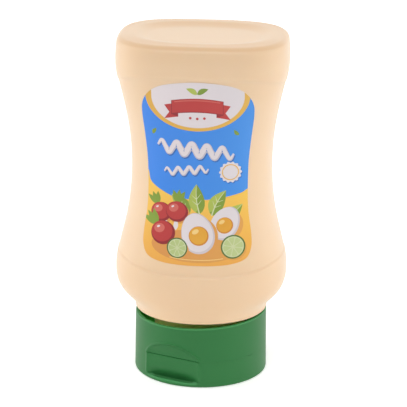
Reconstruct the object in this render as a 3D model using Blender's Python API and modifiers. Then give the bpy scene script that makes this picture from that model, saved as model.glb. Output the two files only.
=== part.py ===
"""Squeeze bottle of mayonnaise that stands on its flip-top cap.

The origin is the middle of the cap's flat foot, +Z is up and the front label faces -Y.
The bottle is oval in plan and drawn in at the waist. A shallow label panel runs round it.
"""
import math

import bmesh
import bpy
import numpy as np
from mathutils import Matrix

MM = 0.001

# Whole pack
TOTAL_HEIGHT = 131.8 * MM
COLUMNS = 64                        # facets round the bottle and the cap
TOUCH_GAP = 0.3 * MM                # clearance between pieces that touch

# Bottle outline: height, half width (X), half depth (Y), roundness exponent (2 is an ellipse)
BOTTLE_STATIONS = (
    (26.00 * MM, 25.15 * MM, 24.15 * MM, 2.05),
    (28.00 * MM, 25.95 * MM, 24.25 * MM, 2.12),
    (31.20 * MM, 28.95 * MM, 24.35 * MM, 2.28),
    (35.00 * MM, 31.50 * MM, 24.45 * MM, 2.42),
    (41.00 * MM, 32.50 * MM, 24.50 * MM, 2.50),
    (48.00 * MM, 31.80 * MM, 24.20 * MM, 2.50),
    (57.00 * MM, 29.70 * MM, 23.30 * MM, 2.48),
    (67.00 * MM, 27.75 * MM, 22.45 * MM, 2.46),
    (80.00 * MM, 26.75 * MM, 22.00 * MM, 2.48),
    (93.00 * MM, 27.25 * MM, 22.40 * MM, 2.58),
    (103.0 * MM, 28.75 * MM, 23.15 * MM, 2.72),
    (112.0 * MM, 30.70 * MM, 24.00 * MM, 2.88),
    (120.0 * MM, 32.25 * MM, 24.50 * MM, 3.00),
    (129.0 * MM, 32.05 * MM, 24.30 * MM, 3.00),
)

# Shoulder underside and neck, which stands in the cap
SHOULDER_FILLET = 1.0 * MM
NECK_RADIUS = 17.8 * MM
NECK_FILLET = 0.8 * MM
NECK_END = 15.5 * MM

# Label panel, sunk right round the waist between two arched borders
PANEL_DEPTH = 0.4 * MM              # at front and back
PANEL_SIDE_SHARE = 0.45             # of that depth is left at the sides
PANEL_SIDE_FADE = 6.0               # a higher power fades nearer the sides
PANEL_STEP = 0.8 * MM               # height of the slope at each border
PANEL_LOW_SIDE = 48.4 * MM
PANEL_LOW_FRONT = 43.5 * MM
PANEL_LOW_ARCH = 2.5                # power of the arch: a higher one is flatter in the middle
PANEL_HIGH_SIDE = 115.0 * MM
PANEL_HIGH_FRONT = 119.6 * MM
PANEL_HIGH_ARCH = 5.0
BELLY_ROWS = 8
PANEL_ROWS = 16
CROWN_ROWS = 5

# Flat end of the bottle, uppermost as it stands, with its shallow dish
END_CORNER = 2.8 * MM
END_CORNER_ROWS = 4
DISH_HALF_WIDTH = 25.0 * MM
DISH_HALF_DEPTH = 15.9 * MM
DISH_EXPONENT = 2.6
DISH_DROP = 1.3 * MM
DISH_SLOPE = 2.2 * MM

# Labels: right half of the outline as seen from the front, from top centre to bottom centre
LABEL_HALF_OUTLINE = (
    (0.0 * MM, 118.8 * MM),
    (8.5 * MM, 118.2 * MM),
    (14.2 * MM, 116.9 * MM),
    (18.2 * MM, 114.3 * MM),
    (20.4 * MM, 110.3 * MM),
    (20.6 * MM, 105.5 * MM),
    (19.6 * MM, 97.0 * MM),
    (18.7 * MM, 88.0 * MM),
    (18.5 * MM, 77.0 * MM),
    (18.9 * MM, 68.5 * MM),
    (20.1 * MM, 60.0 * MM),
    (20.2 * MM, 54.8 * MM),
    (18.4 * MM, 50.9 * MM),
    (13.5 * MM, 49.1 * MM),
    (7.0 * MM, 48.4 * MM),
    (0.0 * MM, 48.2 * MM),
)
LABEL_POINTS_PER_SPAN = 2
LABEL_RINGS = 6
LABEL_FILM = 0.2 * MM               # thickness

# Screw cap body
CAP_FOOT_RADIUS = 25.4 * MM
CAP_RIM_RADIUS = 25.1 * MM
CAP_RIM_HEIGHT = 23.1 * MM
CAP_EDGE = 0.4 * MM                 # rounding of the rim
CAP_WALL = 1.4 * MM
SEAM_HEIGHT = 10.1 * MM             # joint between cap body and flip lid

# Flip lid
FOOT_FILLET = 0.6 * MM

# Thumb catch, cut into both cap pieces
THUMB_TURN = math.radians(-22.9)    # from the front towards -X
THUMB_CHORD = 22.7 * MM             # from the axis to the flat
THUMB_ARCH = 6.2 * MM               # height of the sloping cut over the seam
LIP_THICKNESS = 1.7 * MM
CUTTER_SIZE = 30.0 * MM
EDGE_SEGMENTS = 3

PART_COLLECTION = "mayonnaise_squeeze_bottle"
CUTTER_COLLECTION = "cutters"


def clear_scene():
    for old in list(bpy.data.objects):
        bpy.data.objects.remove(old, do_unlink=True)


def make_collection(name):
    collection = bpy.data.collections.new(name)
    bpy.context.scene.collection.children.link(collection)
    return collection


def linear(channel):
    """One sRGB channel (0 to 255) as the linear value that a shader takes."""
    value = channel / 255.0
    if value <= 0.04045:
        return value / 12.92
    return ((value + 0.055) / 1.055) ** 2.4


def make_material(name, rgb, roughness):
    material = bpy.data.materials.new(name)
    material.use_nodes = True
    shader = material.node_tree.nodes["Principled BSDF"]
    colour = [linear(channel) for channel in rgb] + [1.0]
    shader.inputs["Base Color"].default_value = colour
    shader.inputs["Roughness"].default_value = roughness
    shader.inputs["Metallic"].default_value = 0.0
    material.diffuse_color = colour
    return material


def make_object(name, mesh, collection, material=None):
    piece = bpy.data.objects.new(name, mesh)
    collection.objects.link(piece)
    if material is not None:
        mesh.materials.append(material)
    return piece


def natural_spline(knots, values):
    """A smooth curve through the values, straight at both ends, as a function of height."""
    count = len(knots)
    spans = [knots[i + 1] - knots[i] for i in range(count - 1)]
    matrix = np.identity(count)
    right = np.zeros(count)
    for i in range(1, count - 1):
        matrix[i, i - 1] = spans[i - 1]
        matrix[i, i] = 2.0 * (spans[i - 1] + spans[i])
        matrix[i, i + 1] = spans[i]
        slope_after = (values[i + 1] - values[i]) / spans[i]
        slope_before = (values[i] - values[i - 1]) / spans[i - 1]
        right[i] = 6.0 * (slope_after - slope_before)
    bend = np.linalg.solve(matrix, right)

    def curve(height):
        height = min(max(height, knots[0]), knots[-1])
        i = 0
        while i < count - 2 and height > knots[i + 1]:
            i += 1
        span = spans[i]
        before = (knots[i + 1] - height) / span
        after = (height - knots[i]) / span
        bow = (before ** 3 - before) * bend[i] + (after ** 3 - after) * bend[i + 1]
        return before * values[i] + after * values[i + 1] + bow * span * span / 6.0

    return curve


HEIGHTS = [station[0] for station in BOTTLE_STATIONS]
half_width_at = natural_spline(HEIGHTS, [station[1] for station in BOTTLE_STATIONS])
half_depth_at = natural_spline(HEIGHTS, [station[2] for station in BOTTLE_STATIONS])
exponent_at = natural_spline(HEIGHTS, [station[3] for station in BOTTLE_STATIONS])


def oval_radius(angle, half_width, half_depth, exponent):
    """Distance from the axis to the oval in the direction of an angle from +X."""
    across = abs(math.cos(angle) / half_width) ** exponent
    along = abs(math.sin(angle) / half_depth) ** exponent
    return (across + along) ** (-1.0 / exponent)


def border_arch(angle, power):
    """1 at the middle of the front and back, 0 at the sides."""
    middle = BOTTLE_STATIONS[len(BOTTLE_STATIONS) // 2]
    radius = oval_radius(angle, middle[1], middle[2], middle[3])
    return 1.0 - abs(radius * math.cos(angle) / middle[1]) ** power


def panel_depth(side_ratio):
    """Depth of the label panel where X is a share of the half width."""
    return PANEL_DEPTH * (1.0 - (1.0 - PANEL_SIDE_SHARE) * abs(side_ratio) ** PANEL_SIDE_FADE)


def oval_row(height, half_width, half_depth, exponent):
    """One level row of points round the bottle."""
    row = []
    for column in range(COLUMNS):
        angle = 2.0 * math.pi * column / COLUMNS
        radius = oval_radius(angle, half_width, half_depth, exponent)
        row.append((radius * math.cos(angle), radius * math.sin(angle), height))
    return row


def body_row(side_height, front_height, arch_power, in_panel):
    """One row on the bottle's side wall, arched at front and back."""
    row = []
    for column in range(COLUMNS):
        angle = 2.0 * math.pi * column / COLUMNS
        height = side_height + (front_height - side_height) * border_arch(angle, arch_power)
        half_width = half_width_at(height)
        half_depth = half_depth_at(height)
        radius = oval_radius(angle, half_width, half_depth, exponent_at(height))
        if in_panel:
            radius -= panel_depth(radius * math.cos(angle) / half_width)
        row.append((radius * math.cos(angle), radius * math.sin(angle), height))
    return row


def wall_rows(first, last, count, in_panel):
    """Rows spread evenly between two borders, each a (side height, front height, arch power)."""
    rows = []
    for step in range(count + 1):
        share = step / count
        side, front, power = [a + (b - a) * share for a, b in zip(first, last)]
        rows.append(body_row(side, front, power, in_panel))
    return rows


def neck_rows():
    """Neck and shoulder underside, from the neck's end outwards to the shoulder's edge."""
    base_height, edge_width, edge_depth, edge_exponent = BOTTLE_STATIONS[0]
    under = base_height - SHOULDER_FILLET
    neck_top = under - NECK_FILLET
    inset_45 = SHOULDER_FILLET * (1.0 - math.cos(math.pi / 4.0))
    fillet_45 = NECK_FILLET * (1.0 - math.cos(math.pi / 4.0))
    foot_radius = NECK_RADIUS + NECK_FILLET
    flat_width = edge_width - SHOULDER_FILLET
    flat_depth = edge_depth - SHOULDER_FILLET
    low_width = edge_width - inset_45
    low_depth = edge_depth - inset_45
    mid_neck = NECK_RADIUS + fillet_45
    return [
        oval_row(NECK_END, NECK_RADIUS, NECK_RADIUS, 2.0),
        oval_row(neck_top, NECK_RADIUS, NECK_RADIUS, 2.0),
        oval_row(under - fillet_45, mid_neck, mid_neck, 2.0),
        oval_row(under, foot_radius, foot_radius, 2.0),
        oval_row(under, flat_width, flat_depth, edge_exponent),
        oval_row(under + inset_45, low_width, low_depth, edge_exponent),
    ]


def end_rows():
    """Rounded corner, flat standing ring and shallow dish of the bottle's flat end."""
    corner_base, half_width, half_depth, exponent = BOTTLE_STATIONS[-1]
    rows = []
    for step in range(1, END_CORNER_ROWS + 1):
        turn = 0.5 * math.pi * step / END_CORNER_ROWS
        inset = END_CORNER * (1.0 - math.cos(turn))
        height = corner_base + END_CORNER * math.sin(turn)
        rows.append(oval_row(height, half_width - inset, half_depth - inset, exponent))
    dish = ((0.0, 0.0), (0.35, 0.15), (0.7, 0.85), (1.0, 1.0))
    for across, down in dish:
        inset = DISH_SLOPE * across
        rows.append(oval_row(TOTAL_HEIGHT - DISH_DROP * down, DISH_HALF_WIDTH - inset,
                             DISH_HALF_DEPTH - inset, DISH_EXPONENT))
    return rows


def skin_rows(rows):
    """A closed mesh through rows of equal length, each end shut by one flat face."""
    mesh = bmesh.new()
    rings = [[mesh.verts.new(point) for point in row] for row in rows]
    for lower, upper in zip(rings, rings[1:]):
        for column in range(len(lower)):
            after = (column + 1) % len(lower)
            mesh.faces.new((lower[column], lower[after], upper[after], upper[column]))
    mesh.faces.new(list(reversed(rings[0])))
    mesh.faces.new(rings[-1])
    return mesh


def finish_mesh(name, mesh, smooth_angle):
    data = bpy.data.meshes.new(name)
    mesh.to_mesh(data)
    mesh.free()
    data.shade_smooth()
    data.set_sharp_from_angle(angle=smooth_angle)
    return data


def build_bottle(collection, material):
    half_step = 0.5 * PANEL_STEP
    low_out = (PANEL_LOW_SIDE - half_step, PANEL_LOW_FRONT - half_step, PANEL_LOW_ARCH)
    low_in = (PANEL_LOW_SIDE + half_step, PANEL_LOW_FRONT + half_step, PANEL_LOW_ARCH)
    high_in = (PANEL_HIGH_SIDE - half_step, PANEL_HIGH_FRONT - half_step, PANEL_HIGH_ARCH)
    high_out = (PANEL_HIGH_SIDE + half_step, PANEL_HIGH_FRONT + half_step, PANEL_HIGH_ARCH)
    shoulder_edge = (HEIGHTS[0], HEIGHTS[0], PANEL_LOW_ARCH)
    corner_base = (HEIGHTS[-1], HEIGHTS[-1], PANEL_HIGH_ARCH)
    rows = neck_rows()
    rows += wall_rows(shoulder_edge, low_out, BELLY_ROWS, False)
    rows += wall_rows(low_in, high_in, PANEL_ROWS, True)
    rows += wall_rows(high_out, corner_base, CROWN_ROWS, False)
    rows += end_rows()
    data = finish_mesh("bottle", skin_rows(rows), math.radians(35.0))
    return make_object("bottle", data, collection, material)


def smooth_closed_outline(half_points, points_per_span):
    """The whole outline, mirrored in X, as a smooth closed curve through its points."""
    left = [(-x, z) for x, z in half_points[-2:0:-1]]
    points = list(half_points) + left
    count = len(points)
    outline = []
    for i in range(count):
        before, here = points[i - 1], points[i]
        after, later = points[(i + 1) % count], points[(i + 2) % count]
        for step in range(points_per_span):
            t = step / points_per_span
            place = []
            for axis in range(2):
                p0, p1, p2, p3 = before[axis], here[axis], after[axis], later[axis]
                bend = 2.0 * p0 - 5.0 * p1 + 4.0 * p2 - p3
                twist = 3.0 * (p1 - p2) + p3 - p0
                value = 2.0 * p1 + (p2 - p0) * t + bend * t * t + twist * t ** 3
                place.append(0.5 * value)
            outline.append(tuple(place))
    return outline


def wall_point(x, height, offset, facing):
    """The point of the label panel's surface at x and height, moved outwards by an offset."""
    outwards = offset - panel_depth(x / half_width_at(height))
    half_width = half_width_at(height) + outwards
    half_depth = half_depth_at(height) + outwards
    exponent = exponent_at(height)
    share = 1.0 - abs(x / half_width) ** exponent
    return (x, facing * half_depth * share ** (1.0 / exponent), height)


def label_skin(mesh, outline, middle, offset, facing):
    """One side of a label: rings from the outline in to the middle point."""
    rings = []
    for ring in range(LABEL_RINGS):
        share = 1.0 - ring / LABEL_RINGS
        row = []
        for x, z in outline:
            height = middle + (z - middle) * share
            row.append(mesh.verts.new(wall_point(x * share, height, offset, facing)))
        rings.append(row)
    centre = mesh.verts.new(wall_point(0.0, middle, offset, facing))
    for outer, inner in zip(rings, rings[1:]):
        for i in range(len(outer)):
            after = (i + 1) % len(outer)
            mesh.faces.new((outer[i], outer[after], inner[after], inner[i]))
    for i in range(len(rings[-1])):
        mesh.faces.new((rings[-1][i], rings[-1][(i + 1) % len(outline)], centre))
    return rings[0]


def build_label(name, facing, collection, material):
    """A die-cut film label, wrapped on the panel. facing is -1 at the front, 1 at the back."""
    outline = smooth_closed_outline(LABEL_HALF_OUTLINE, LABEL_POINTS_PER_SPAN)
    heights = [z for x, z in outline]
    middle = 0.5 * (min(heights) + max(heights))
    mesh = bmesh.new()
    inner = label_skin(mesh, outline, middle, TOUCH_GAP, facing)
    outer = label_skin(mesh, outline, middle, TOUCH_GAP + LABEL_FILM, facing)
    for i in range(len(inner)):
        after = (i + 1) % len(inner)
        mesh.faces.new((inner[i], inner[after], outer[after], outer[i]))
    bmesh.ops.recalc_face_normals(mesh, faces=mesh.faces)
    data = finish_mesh(name, mesh, math.radians(35.0))
    return make_object(name, data, collection, material)


def turned_piece(name, profile, collection, material):
    """A profile in the XZ plane, listed down its outer side, turned round the Z axis."""
    mesh = bpy.data.meshes.new(name)
    edges = [(i, i + 1) for i in range(len(profile) - 1)]
    mesh.from_pydata([(x, 0.0, z) for x, z in profile], edges, [])
    piece = make_object(name, mesh, collection, material)
    screw = piece.modifiers.new("turn", "SCREW")
    screw.axis = "Z"
    screw.angle = 2.0 * math.pi
    screw.steps = COLUMNS
    screw.render_steps = COLUMNS
    screw.use_merge_vertices = True
    screw.merge_threshold = 0.01 * MM
    screw.use_smooth_shade = True
    return piece


def quarter(centre_x, centre_z, radius, start, end):
    """Points of a rounding between two angles, both ends included."""
    points = []
    for step in range(EDGE_SEGMENTS + 1):
        turn = math.radians(start + (end - start) * step / EDGE_SEGMENTS)
        points.append((centre_x + radius * math.cos(turn), centre_z + radius * math.sin(turn)))
    return points


def wall_radius(height):
    """Outer radius of the cap, which widens a little towards the foot."""
    share = height / CAP_RIM_HEIGHT
    return CAP_FOOT_RADIUS + (CAP_RIM_RADIUS - CAP_FOOT_RADIUS) * share


def thumb_cutter(name, lean, height, collection):
    """A box whose inner face stands THUMB_CHORD from the axis and leans outwards going up."""
    mesh = bpy.data.meshes.new(name)
    block = bmesh.new()
    bmesh.ops.create_cube(block, size=CUTTER_SIZE)
    lift = Matrix.Translation((0.0, -0.5 * CUTTER_SIZE, 0.5 * CUTTER_SIZE))
    tilt = Matrix.Rotation(lean, 4, "X")
    place = Matrix.Translation((0.0, -THUMB_CHORD, height))
    turn = Matrix.Rotation(THUMB_TURN, 4, "Z")
    bmesh.ops.transform(block, matrix=turn @ place @ tilt @ lift, verts=block.verts)
    block.to_mesh(mesh)
    block.free()
    cutter = make_object(name, mesh, collection)
    cutter.hide_render = True
    cutter.display_type = "WIRE"
    return cutter


def cut(piece, cutter):
    boolean = piece.modifiers.new("thumb catch", "BOOLEAN")
    boolean.operation = "DIFFERENCE"
    boolean.object = cutter


def build_closure(collection, cutters, material):
    """The screw cap's body: a solid foot with a skirt that stands round the neck."""
    base = SEAM_HEIGHT + 0.5 * TOUCH_GAP
    floor = NECK_END - TOUCH_GAP
    inner_radius = CAP_RIM_RADIUS - CAP_WALL
    rim_outer = quarter(CAP_RIM_RADIUS - CAP_EDGE, CAP_RIM_HEIGHT - CAP_EDGE, CAP_EDGE, 90.0, 0.0)
    rim_inner = quarter(inner_radius + CAP_EDGE, CAP_RIM_HEIGHT - CAP_EDGE, CAP_EDGE, 180.0, 90.0)
    profile = [(0.0, floor), (inner_radius, floor)]
    profile += rim_inner
    profile += rim_outer
    profile += [(wall_radius(base), base), (0.0, base)]
    closure = turned_piece("closure", profile, collection, material)
    lean = math.atan2(CAP_RIM_RADIUS - THUMB_CHORD, THUMB_ARCH)
    cut(closure, thumb_cutter("arch_cutter", lean, SEAM_HEIGHT, cutters))
    return closure


def build_lid(collection, cutters, material):
    """The flip lid, shut: a flat disc the bottle stands on, with a lip under the thumb catch."""
    top = SEAM_HEIGHT - 0.5 * TOUCH_GAP
    foot_corner = quarter(CAP_FOOT_RADIUS - FOOT_FILLET, FOOT_FILLET, FOOT_FILLET, 0.0, -90.0)
    profile = [(0.0, top), (wall_radius(top), top)]
    profile += foot_corner
    profile += [(0.0, 0.0)]
    lid = turned_piece("flip_lid", profile, collection, material)
    cut(lid, thumb_cutter("lid_cutter", 0.0, LIP_THICKNESS, cutters))
    return lid


def main():
    clear_scene()
    part = make_collection(PART_COLLECTION)
    cutters = make_collection(CUTTER_COLLECTION)
    bottle_plastic = make_material("bottle_plastic", (238, 214, 186), 0.42)
    front_film = make_material("front_label_film", (74, 139, 211), 0.35)
    back_film = make_material("back_label_film", (84, 150, 222), 0.35)
    cap_plastic = make_material("cap_plastic", (62, 125, 75), 0.38)
    lid_plastic = make_material("lid_plastic", (66, 130, 80), 0.38)
    build_bottle(part, bottle_plastic)
    build_label("label_front", -1.0, part, front_film)
    build_label("label_back", 1.0, part, back_film)
    build_closure(part, cutters, cap_plastic)
    build_lid(part, cutters, lid_plastic)


main()
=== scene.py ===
"""Squeeze bottle of mayonnaise that stands on its flip-top cap.

A blow-moulded bottle, two wrapped film labels and a two-piece moulded cap are built over the
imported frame. Heights are above the cap's foot, the front label faces -Y and +X is to its right.
"""
import math

import bpy
import numpy as np
from bpy.props import FloatProperty, FloatVectorProperty, IntProperty, PointerProperty
from bpy.types import Operator, Panel, PropertyGroup
from mathutils import Matrix, Vector
from mathutils.geometry import delaunay_2d_cdt


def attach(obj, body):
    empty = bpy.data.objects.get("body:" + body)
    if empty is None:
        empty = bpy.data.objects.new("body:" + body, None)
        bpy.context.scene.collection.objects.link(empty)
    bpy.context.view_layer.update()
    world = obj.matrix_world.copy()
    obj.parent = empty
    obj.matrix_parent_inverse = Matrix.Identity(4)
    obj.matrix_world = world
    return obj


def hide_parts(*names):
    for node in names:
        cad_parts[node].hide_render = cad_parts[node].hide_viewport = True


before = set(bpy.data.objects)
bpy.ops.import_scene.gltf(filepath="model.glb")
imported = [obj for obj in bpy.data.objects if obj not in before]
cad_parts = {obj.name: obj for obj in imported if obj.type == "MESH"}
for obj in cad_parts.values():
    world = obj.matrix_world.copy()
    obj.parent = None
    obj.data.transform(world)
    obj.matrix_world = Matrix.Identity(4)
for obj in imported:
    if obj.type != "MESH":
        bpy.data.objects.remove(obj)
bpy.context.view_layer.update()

bl_info = {
    "name": "Mayonnaise squeeze bottle",
    "version": (1, 0, 0),
    "blender": (4, 5, 0),
    "location": "3D View > Sidebar > Squeeze bottle",
    "description": "Builds a blow-moulded squeeze bottle with film labels and a flip-top cap",
    "category": "Add Mesh",
}

MM = 0.001

# Bottle outline: height, half width (X), half depth (Y), roundness exponent (2 is an ellipse)
BOTTLE_STATIONS = (
    (26.00 * MM, 25.15 * MM, 24.15 * MM, 2.05),
    (28.00 * MM, 25.95 * MM, 24.25 * MM, 2.12),
    (31.20 * MM, 28.95 * MM, 24.35 * MM, 2.28),
    (35.00 * MM, 31.50 * MM, 24.45 * MM, 2.42),
    (41.00 * MM, 32.50 * MM, 24.50 * MM, 2.50),
    (48.00 * MM, 31.80 * MM, 24.20 * MM, 2.50),
    (57.00 * MM, 29.70 * MM, 23.30 * MM, 2.48),
    (67.00 * MM, 27.75 * MM, 22.45 * MM, 2.46),
    (80.00 * MM, 26.75 * MM, 22.00 * MM, 2.48),
    (93.00 * MM, 27.25 * MM, 22.40 * MM, 2.58),
    (103.0 * MM, 28.75 * MM, 23.15 * MM, 2.72),
    (112.0 * MM, 30.70 * MM, 24.00 * MM, 2.88),
    (120.0 * MM, 32.25 * MM, 24.50 * MM, 3.00),
    (129.0 * MM, 32.05 * MM, 24.30 * MM, 3.00),
)
SHOULDER_FILLET = 0.55 * MM
SHOULDER_UNDER = 24.9 * MM          # underside of the shoulder
NECK_RADIUS = 17.8 * MM
NECK_FILLET = 0.8 * MM
NECK_END = 15.5 * MM
NECK_EDGE = 0.5 * MM                # rounding of the neck's lower end
NECK_STRAIGHT = 17.0 * MM           # where the neck's straight rows start

# Panel borders: height at the sides, height at front and back, power of the arch
PANEL_LOW = (48.4 * MM, 43.5 * MM, 2.5)
PANEL_HIGH = (115.0 * MM, 119.6 * MM, 5.0)
PANEL_SIDE_SHARE = 0.45             # how much of the panel's depth is left at the sides
PANEL_SIDE_FADE = 6.0               # power of the fade towards the sides
LOW_STEP = 0.94 * MM                # height of the slope at the lower border
HIGH_STEP = 1.65 * MM               # height of the slope at the upper border
HIGH_START = 0.4 * MM               # how far under the upper border its slope starts

# Flat end of the bottle with its shallow dish
END_CORNER = 2.8 * MM
DISH_HALF_WIDTH = 26.0 * MM
DISH_HALF_DEPTH = 18.2 * MM
DISH_EXPONENT = 2.6
DISH_DROP = 1.0 * MM
DISH_SLOPE = 6.0 * MM
RING_FALL = 0.15 * MM               # the standing ring falls a little to its outer edge

# Parting line of the mould halves and the vent pip in the dish
PARTING_HALF_WIDTH = 0.28 * MM
PARTING_HEIGHT = 0.05 * MM
PIP_PLACE = (-3.5 * MM, 14.4 * MM)
PIP_RADIUS = 0.8 * MM
PIP_HEIGHT = 0.25 * MM

# Labels: right half of the outline in mm as seen from the front, from top centre to bottom centre
LABEL_HALF_OUTLINE = (
    (0.0, 118.8), (8.5, 118.2), (14.2, 116.9), (18.2, 114.3), (20.4, 110.3), (20.6, 105.5),
    (19.6, 97.0), (18.7, 88.0), (18.5, 77.0), (18.9, 68.5), (20.1, 60.0), (20.2, 54.8),
    (18.4, 50.9), (13.5, 49.1), (7.0, 48.4), (0.0, 48.2),
)
LABEL_INSIDE = 0.02 * MM            # inner side over the panel
LABEL_OUTSIDE = 0.16 * MM           # outer side over the panel

# Cap
CAP_FOOT_RADIUS = 25.36 * MM
CAP_RIM_RADIUS = 25.08 * MM
CAP_RIM_HEIGHT = 23.1 * MM
CAP_WALL = 1.4 * MM
CAP_CAVITY_FLOOR = 15.2 * MM
RIM_EDGE = 0.4 * MM
FOOT_FILLET = 0.6 * MM
SEAM_GAP = 0.02 * MM
SEAM_EDGE = 0.02 * MM               # rounding of the seam round the cap
CATCH_SEAM_EDGE = 0.32 * MM         # rounding of the seam across the thumb catch
NICK_ANGLE = math.radians(52.0)     # short opening in the seam, from the front towards +X
NICK_HALF_ANGLE = math.radians(4.0)

RIM_LIFT = 0.35 * MM                # the whole rim is raised by this
RIM_SLOPE = 0.8 * MM                # and slopes up by this from the axis to +X
RIM_SLOPE_START = 16.6 * MM         # height from which the wall rises with it

# Thumb catch. Against height, all in mm: the lip gives the flat's distance from the axis, the
# scoop its extra depth in the middle, and the sink how far a row goes down behind the lip
CATCH_TURN = math.radians(-22.9)    # the catch's middle, from the front towards +X
CATCH_CHORD = 22.7                  # distance of the flat from the axis, in mm
CATCH_LIP = ((0.00, 27.0), (0.45, 25.75), (0.75, 25.38), (1.05, 25.17), (1.37, 25.0),
             (1.57, 24.88), (1.67, 24.78), (1.71, 24.68), (1.73, 24.55), (1.75, 24.4),
             (1.79, 24.1), (1.83, 23.7), (1.87, 23.1), (1.92, 22.75), (1.98, 22.7),
             (2.12, 22.7), (11.0, 22.7))
CATCH_SCOOP = ((0.0, 0.0), (1.82, 0.0), (1.86, 0.2), (1.90, 0.55), (1.96, 0.85), (2.07, 1.1),
               (2.3, 1.25), (2.75, 1.12), (3.4, 0.72), (4.25, 0.28), (5.1, 0.06), (6.2, 0.0),
               (11.0, 0.0))
CATCH_SINK = ((0.0, 0.0), (1.715, 0.0), (1.74, 0.15), (1.76, 0.5), (1.79, 0.95), (1.82, 1.2),
              (1.88, 1.3), (2.07, 1.22), (2.3, 1.13), (2.75, 0.9), (3.4, 0.52), (4.25, 0.18),
              (5.1, 0.03), (6.2, 0.0), (11.0, 0.0))
SCOOP_HALF_WIDTH = 10.7             # in mm along the flat
LEAST_FACING = 0.2                  # keeps the flat's plane finite away from the catch
ARCH_FOOT = 22.5 * MM               # the arched flat above the seam: its distance at the foot
ARCH_REACH = 2.78 * MM              # and how much farther out it is at its top
ARCH_HEIGHT = 6.3 * MM
ARCH_POWER = 1.5
EDGE_BLEND = 0.12 * MM              # rounding where the flat meets the wall
BEAD_HEIGHT = 0.26 * MM             # fine bead along that edge
BEAD_WIDTH = 0.36 * MM
BEAD_START = 1.8 * MM               # the lip below this height has no bead
BEAD_RISE = 0.6 * MM                # height over which it comes up

# Columns of the cap: degrees to each side of the catch and of the nick, and their steps
CATCH_COLUMNS = (31.0, 0.4)
NICK_COLUMNS = (5.0, 0.5)
OTHER_COLUMNS = 152
SEAM_CATCH_HALF_ANGLE = math.radians(27.0)  # the seam's wide rounding ends here
ARCH_ROW = 0.13 * MM                # distance between rows over the arched flat

# Rows of the cap close to the seam (distance from it) and over the lip (from, to, step), in mm
SEAM_ROWS = (0.0, 0.01, 0.025, 0.045, 0.07, 0.1, 0.14, 0.19, 0.24, 0.3)
LIP_ROWS = ((0.66, 1.64, 0.05), (1.64, 2.0, 0.0125), (2.0, 5.4, 0.11))

# Looks of the bottle. A zone is the height where its tone starts, where it is full, and its share.
# The corner, ring and shoulder zones are painted shade that darkens the plastic's colour
CORNER_PAINTED_SHADE = (123.5 * MM, 127.5 * MM, 0.2)
RING_PAINTED_SHADE = (130.2 * MM, 130.7 * MM, 0.5)
SHOULDER_PAINTED_SHADE = (50.0 * MM, 32.0 * MM, 0.45)
# the in-cap zone paints the neck a brighter, yellower tint that stands in for light coming through
# the green cap
IN_CAP_PAINTED_ZONE = (24.9 * MM, 24.2 * MM, 1.0)
END_OVAL = (0.35, 1.0, 0.0)         # shrinks X, so that the end's zones fade inwards in an oval
END_FADE = (8.0 * MM, 18.0 * MM)
PAINTED_SHADE_SHARES = (0.89, 0.80, 0.68)      # how much of each colour the painted shade keeps
NECK_PAINTED_TINT = "FFFF98"

# Looks of the cap: how much of each colour the cavity's painted light and the painted highlight on
# each crest give back
CAVITY_PAINTED_LIGHT = (1.6, 2.7, 1.2)
CREST_PAINTED_HIGHLIGHT = (2.3, 1.55, 2.0)
SWIRL_DARKER = (0.93, 0.93, 0.93)

# Floor's painted glow: where along Y it starts, where it is full, and how strong it is there
NEAR_PAINTED_GLOW = (-0.30, -0.03, 0.3)
FAR_PAINTED_GLOW = (0.15, 1.2, 0.7)
TABLE_FRONT_PAINTED_SHADE = (0.62, 0.62, 0.62)    # painted shade: the grey colour of the floor's front

# Camera
CAMERA_AIM = 65.07 * MM             # height of its aim on the axis
CAMERA_ROLL = math.radians(0.48)    # it isn't held quite level
CAMERA_LENS = 200.2                 # in mm
CAMERA_SHIFT = 0.0039

# Soft boxes: place, width and height in metres, and power in watts
SOFT_BOXES = {
    "left_box": ((-0.85, 0.0, 0.45), 0.6, 0.9, 3.4),
    "right_box": ((0.85, 0.0, 0.45), 0.6, 0.9, 3.4),
    "front_top_box": ((0.0, -0.8, 0.84), 1.0, 0.5, 7.25),
}


def hex_to_linear(text):
    """An sRGB hex colour as the linear red, green and blue that a shader takes."""
    channels = [int(text[i:i + 2], 16) / 255.0 for i in (0, 2, 4)]
    return tuple(c / 12.92 if c <= 0.04045 else ((c + 0.055) / 1.055) ** 2.4 for c in channels)


def rgba(colour):
    return (colour[0], colour[1], colour[2], 1.0)


def tinted(colour, shares):
    """A colour with each channel multiplied by a share of its own."""
    return tuple(channel * share for channel, share in zip(colour, shares))


def per_metre(size_mm):
    """The scale that gives a texture a feature of this size in millimetres."""
    return 1000.0 / size_mm


# Settings

class BottleSettings(PropertyGroup):
    """Sizes and colours of the blow-moulded bottle."""
    panel_depth: FloatProperty(name="Panel depth", description="How far the label panel is sunk",
                               default=0.6 * MM, min=0.0, subtype="DISTANCE", unit="LENGTH")
    columns: IntProperty(name="Columns", description="Facets round the bottle", default=248, min=32)
    colour: FloatVectorProperty(name="Plastic", description="Colour of the plastic",
                                default=hex_to_linear("EDCEAB"), size=3, min=0.0, max=1.0,
                                subtype="COLOR")
    warm: FloatVectorProperty(name="Plastic, thicker",
                              description="Colour where the wall is thicker",
                              default=hex_to_linear("EACAA4"), size=3, min=0.0, max=1.0,
                              subtype="COLOR")


class LabelSettings(PropertyGroup):
    """Colours of the two printed film labels."""
    field: FloatVectorProperty(name="Field", description="Main colour of the label",
                               default=hex_to_linear("3C86E6"), size=3, min=0.0, max=1.0,
                               subtype="COLOR")
    foot: FloatVectorProperty(name="Foot", description="Colour of the label's lower field",
                              default=hex_to_linear("F2C255"), size=3, min=0.0, max=1.0,
                              subtype="COLOR")
    grid: FloatProperty(name="Grid", description="Distance between the points that bend the film",
                        default=0.9 * MM, min=0.3 * MM, subtype="DISTANCE", unit="LENGTH")


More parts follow.
